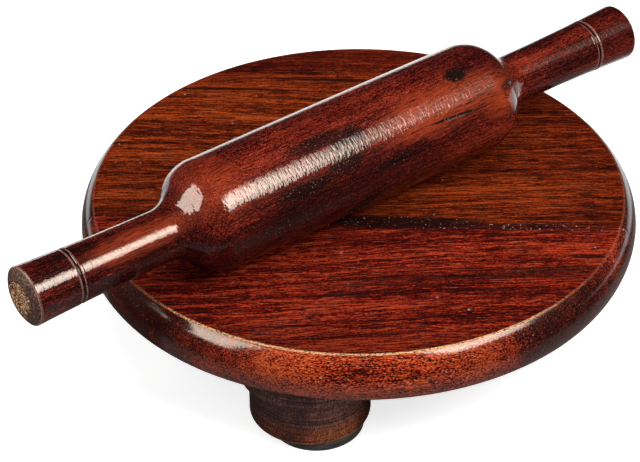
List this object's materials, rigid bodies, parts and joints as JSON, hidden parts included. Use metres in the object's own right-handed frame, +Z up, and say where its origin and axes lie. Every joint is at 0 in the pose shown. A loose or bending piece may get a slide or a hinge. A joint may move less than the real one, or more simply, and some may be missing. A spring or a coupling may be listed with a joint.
{
  "type": "chakla rolling board",
  "caption": "Round wooden chakla board with a rounded edge on turned, padded feet, with its shouldered wooden belan lying across it",
  "frame": {"origin": "on the ground, straight under the centre of the round board", "axes": "+Z up; +X along the board's seam and grain; +Y from the front plank to the rear plank"},
  "size_m": [0.2566, 0.2432, 0.1055],
  "materials": {
    "board_wood": "oiled red-brown hardwood, semi-gloss",
    "belan_wood": "dark red-brown hardwood, gloss lacquer",
    "dowel_wood": "plain beech",
    "screw_steel": "zinc plated",
    "pad_rubber": "matte dark grey"
  },
  "bodies": {
    "board": {"rear_plank": "board_wood", "front_plank": "board_wood", "foot_front": "board_wood", "foot_right": "board_wood", "foot_left": "board_wood", "seam_dowels": "dowel_wood", "foot_screws": "screw_steel", "pad_front": "pad_rubber", "pad_right": "pad_rubber", "pad_left": "pad_rubber"},
    "belan": {"belan": "belan_wood"}
  },
  "joints": [
    {"name": "belan_lift", "type": "slide", "parent": "board", "child": "belan", "axis": [0, 0, 1], "range_m": [0, 0.12]}
  ]
}
